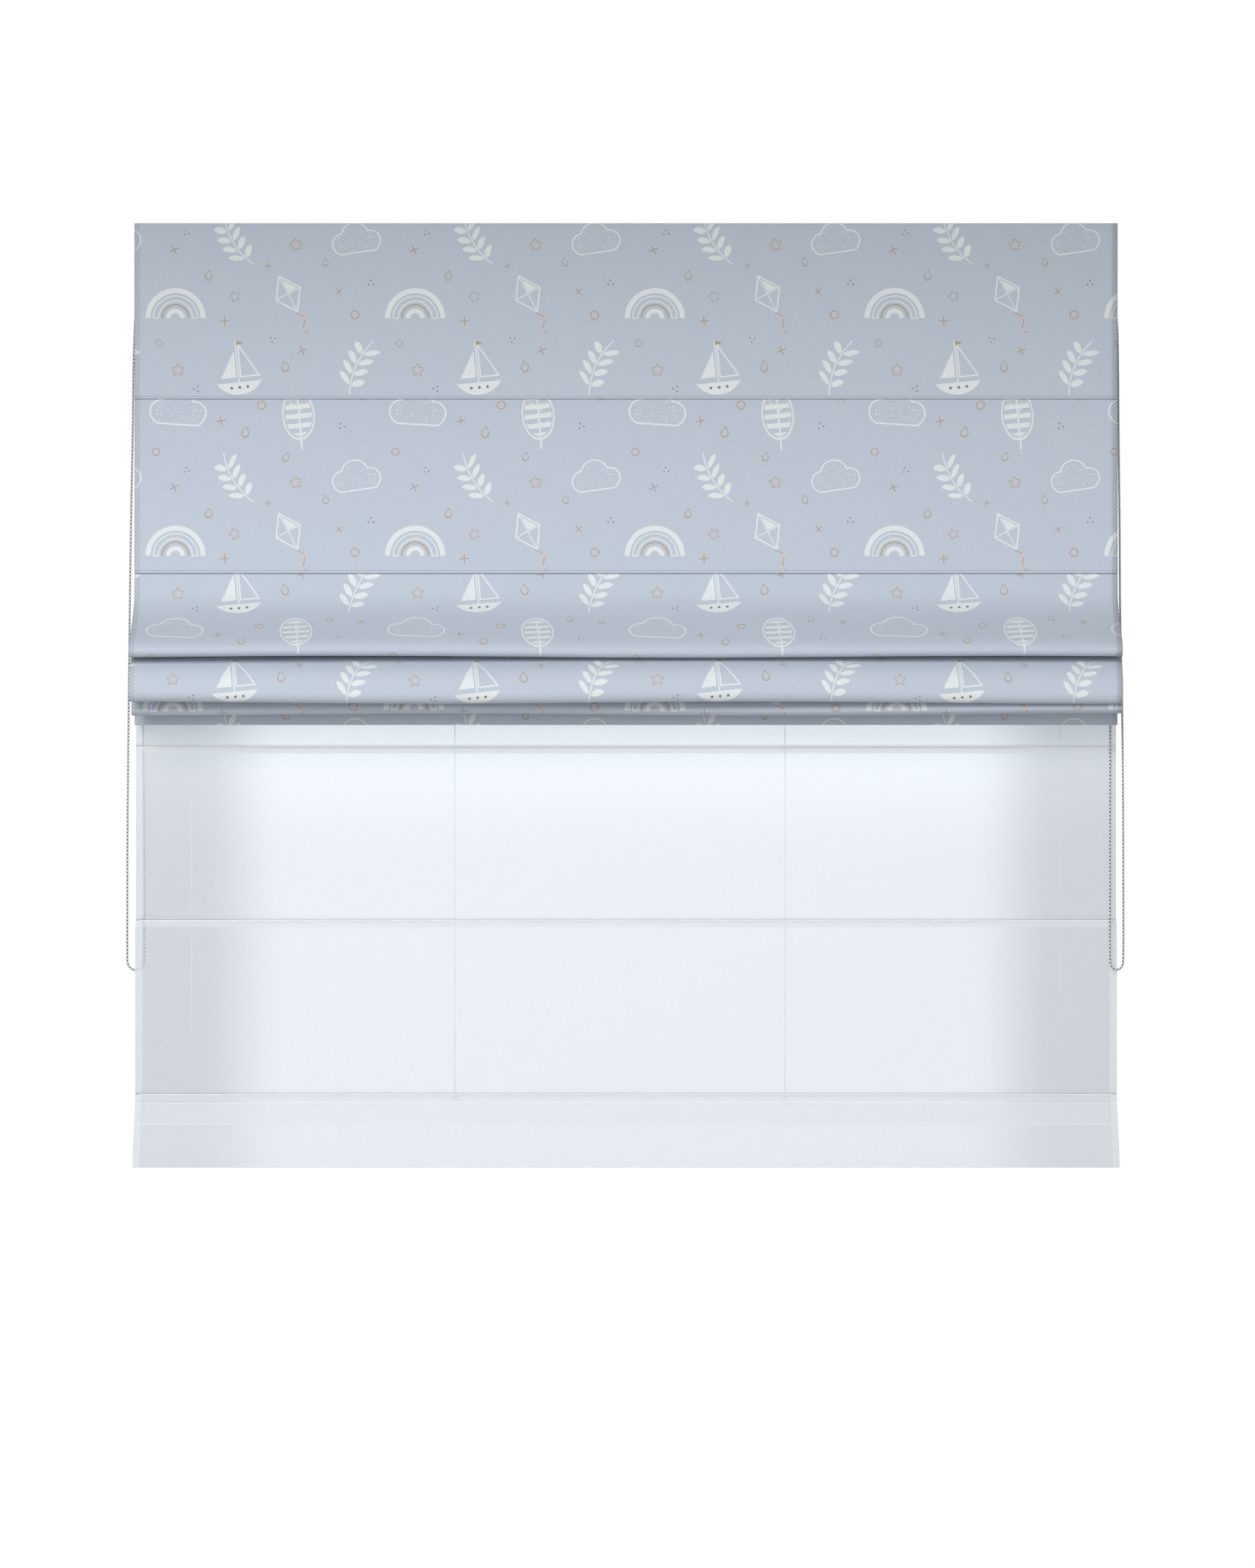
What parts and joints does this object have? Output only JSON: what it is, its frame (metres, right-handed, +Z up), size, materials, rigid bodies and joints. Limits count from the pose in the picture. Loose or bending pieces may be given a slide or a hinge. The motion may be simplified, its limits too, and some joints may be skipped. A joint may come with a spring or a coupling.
{
  "type": "double roman blind with headrails",
  "caption": "Half-raised printed cotton roman blind with hanging folds in front of a lowered voile roman blind, on two headrails with wall brackets and bead chains.",
  "frame": {"origin": "middle of the centre bracket's wall face", "axes": "+X along the rails to the right, -Y into the room, +Y into the wall, +Z up"},
  "size_m": [1.631, 0.1899, 1.54],
  "materials": {
    "printed_cotton": "plain-woven cotton, grey-blue with an off-white and ochre print",
    "voile": "sheer white voile",
    "rail_metal": "white powder coat, satin",
    "white_plastic": "moulded, satin",
    "hook_tape": "white hook tape",
    "lift_cord": "braided polyester",
    "clear_plastic": "milky moulded plastic",
    "glass_fibre_rod": "white glass fibre",
    "bead_chain": "white moulded beads on a cord"
  },
  "bodies": {
    "root": {"front_cloth": "printed_cotton", "sheer_cloth": "voile", "front_rail": "rail_metal", "front_chain_drive": "white_plastic", "front_end_cap": "white_plastic", "front_heading_tape": "hook_tape", "front_cord_spool_1": "white_plastic", "front_lift_cord_1": "lift_cord", "front_cord_ring_1": "clear_plastic", "front_cord_spool_2": "white_plastic", "front_lift_cord_2": "lift_cord", "front_cord_ring_2": "clear_plastic", "front_cord_spool_3": "white_plastic", "front_lift_cord_3": "lift_cord", "front_cord_ring_3": "clear_plastic", "front_cord_spool_4": "white_plastic", "front_lift_cord_4": "lift_cord", "front_cord_ring_4": "clear_plastic", "front_rod_1": "glass_fibre_rod", "front_rod_2": "glass_fibre_rod", "front_rod_3": "glass_fibre_rod", "front_rod_4": "glass_fibre_rod", "front_rod_5": "glass_fibre_rod", "front_chain": "bead_chain", "sheer_rail": "rail_metal", "sheer_chain_drive": "white_plastic", "sheer_end_cap": "white_plastic", "sheer_heading_tape": "hook_tape", "sheer_cord_spool_1": "white_plastic", "sheer_lift_cord_1": "lift_cord", "sheer_cord_ring_1": "clear_plastic", "sheer_cord_spool_2": "white_plastic", "sheer_lift_cord_2": "lift_cord", "sheer_cord_ring_2": "clear_plastic", "sheer_cord_spool_3": "white_plastic", "sheer_lift_cord_3": "lift_cord", "sheer_cord_ring_3": "clear_plastic", "sheer_cord_spool_4": "white_plastic", "sheer_lift_cord_4": "lift_cord", "sheer_cord_ring_4": "clear_plastic", "sheer_rod_1": "glass_fibre_rod", "sheer_rod_2": "glass_fibre_rod", "sheer_rod_3": "glass_fibre_rod", "sheer_rod_4": "glass_fibre_rod", "sheer_rod_5": "glass_fibre_rod", "sheer_chain": "bead_chain", "wall_bracket_left": "rail_metal", "wall_bracket_middle": "rail_metal", "wall_bracket_right": "rail_metal"}
  },
  "joints": []
}
